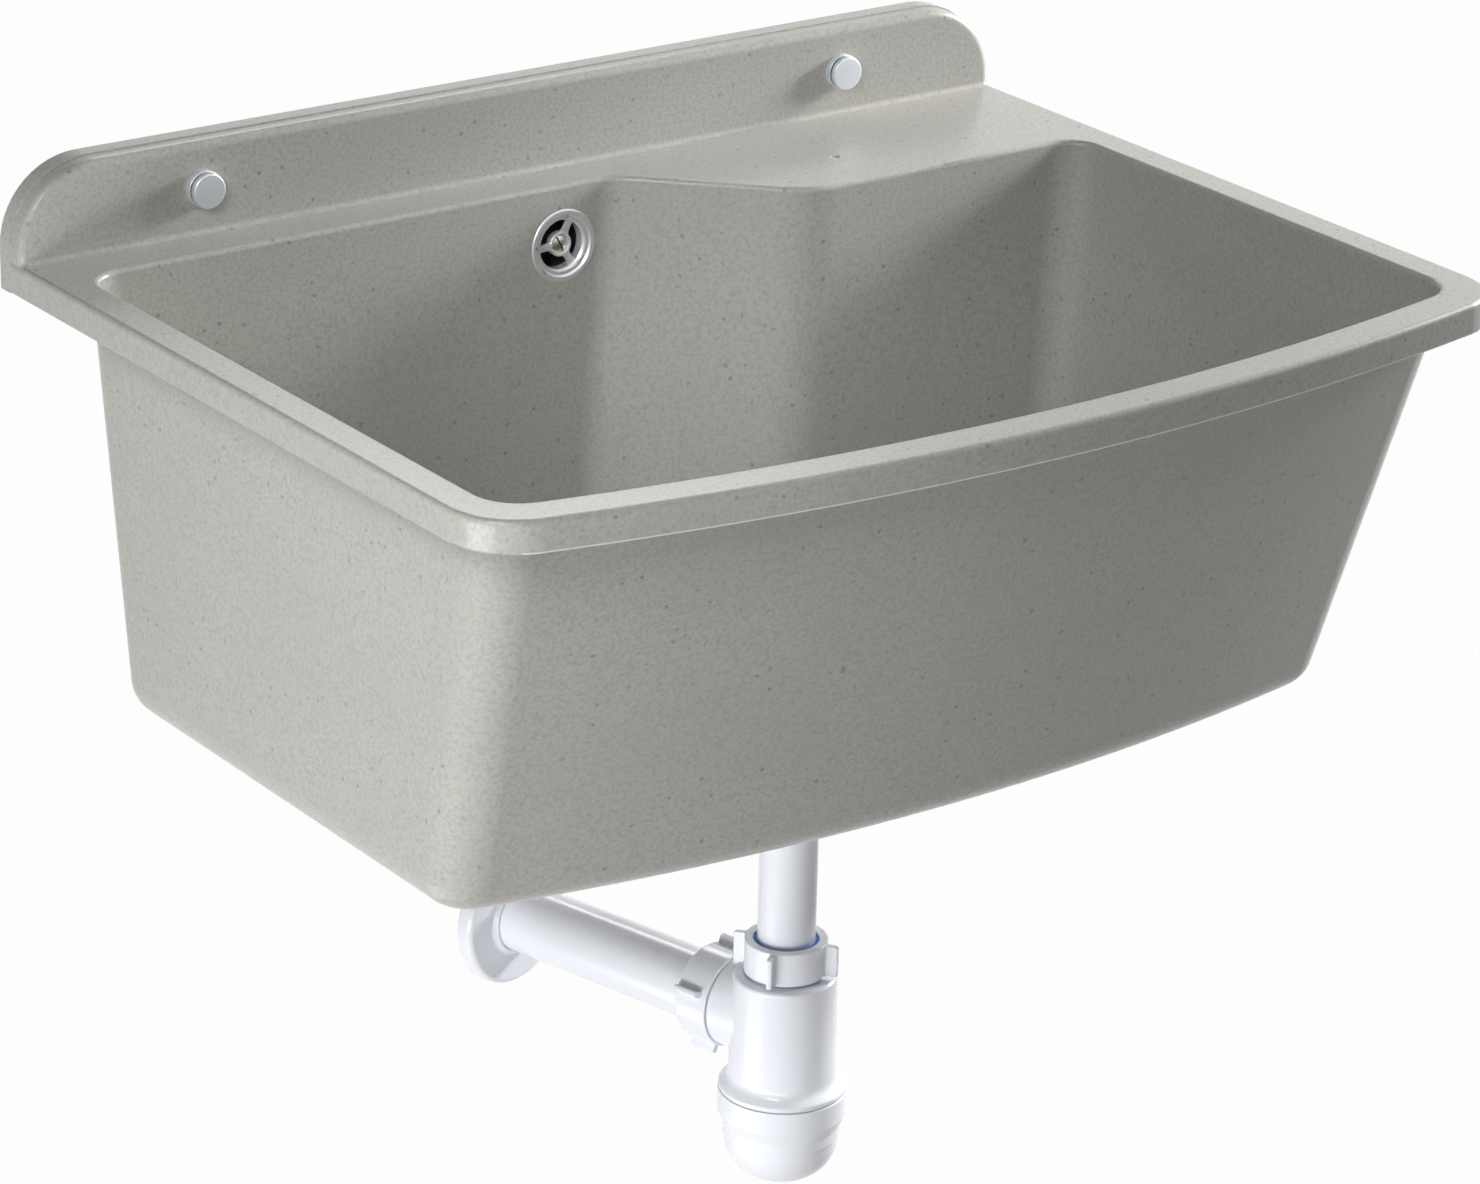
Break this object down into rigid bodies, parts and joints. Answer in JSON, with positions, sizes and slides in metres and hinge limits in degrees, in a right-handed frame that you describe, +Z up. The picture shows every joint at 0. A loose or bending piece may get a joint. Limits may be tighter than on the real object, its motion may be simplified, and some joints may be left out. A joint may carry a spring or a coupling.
{
  "type": "wall-hung utility sink",
  "caption": "Wall-hung utility sink of speckled grey plastic with a deep bowl, backsplash, tap ledge, chromed overflow, strainer waste and a white bottle trap.",
  "frame": {"origin": "midway between the two wall screws, on the wall plane", "axes": "+X to the right seen from the front, +Y into the wall, +Z up"},
  "size_m": [0.64, 0.5449, 0.5615],
  "materials": {
    "granite_plastic": "satin, grey with fine darker specks",
    "chrome": "polished",
    "nickel": "satin nickel",
    "steel": "satin",
    "brass": "turned",
    "black_rubber": "matt",
    "blue_rubber": "matt",
    "white_plastic": "glossy"
  },
  "bodies": {
    "sink": {"basin_shell": "granite_plastic", "wall_screws": "steel", "cap_bases": "chrome", "overflow_rosette": "chrome", "overflow_screw": "nickel", "overflow_gasket": "black_rubber", "overflow_elbow": "white_plastic", "drain_strainer": "steel", "strainer_gasket": "black_rubber", "strainer_screw": "nickel", "screw_insert": "brass", "waste_gasket": "black_rubber", "waste_body": "white_plastic", "waste_seal": "black_rubber", "waste_nut": "white_plastic", "inlet_pipe": "white_plastic"},
    "left_cap": {"left_cap": "chrome"},
    "right_cap": {"right_cap": "chrome"},
    "trap_collar": {"trap_top_nut": "white_plastic", "trap_top_seal": "blue_rubber"},
    "trap": {"trap_body": "white_plastic", "side_nut": "white_plastic", "side_seal": "black_rubber"},
    "outlet": {"outlet_pipe": "white_plastic"},
    "cover": {"wall_rosette": "white_plastic"},
    "cup_ring": {"cup_gasket": "black_rubber"},
    "cup": {"trap_cup": "white_plastic"}
  },
  "joints": [
    {"name": "left_cap_pull", "type": "slide", "parent": "sink", "child": "left_cap", "axis": [0, -1, 0], "range_m": [0, 0.012]},
    {"name": "right_cap_pull", "type": "slide", "parent": "sink", "child": "right_cap", "axis": [0, -1, 0], "range_m": [0, 0.012]},
    {"name": "trap_height", "type": "slide", "parent": "sink", "child": "trap_collar", "axis": [0, 0, 1], "range_m": [-0.02, 0.02]},
    {"name": "trap_swivel", "type": "hinge", "parent": "trap_collar", "child": "trap", "pos_m": [0, -0.275, -0.3918], "axis": [0, 0, 1], "continuous": true},
    {"name": "outlet_slide", "type": "slide", "parent": "trap", "child": "outlet", "axis": [-0.2504, 0.9681, 0], "range_m": [0, 0.012]},
    {"name": "cover_slide", "type": "slide", "parent": "outlet", "child": "cover", "axis": [-0.2504, 0.9681, 0], "range_m": [-0.12, 0.01]},
    {"name": "cup_drop", "type": "slide", "parent": "trap", "child": "cup_ring", "axis": [0, 0, -1], "range_m": [0, 0.0121]},
    {"name": "cup_turn", "type": "hinge", "parent": "cup_ring", "child": "cup", "pos_m": [0, -0.275, -0.4813], "axis": [0, 0, -1], "range_deg": [0, 1080]}
  ],
  "couplings": [
    {"joint": "cup_drop", "follows": "cup_turn", "m_per_rad": 0.00063662}
  ]
}
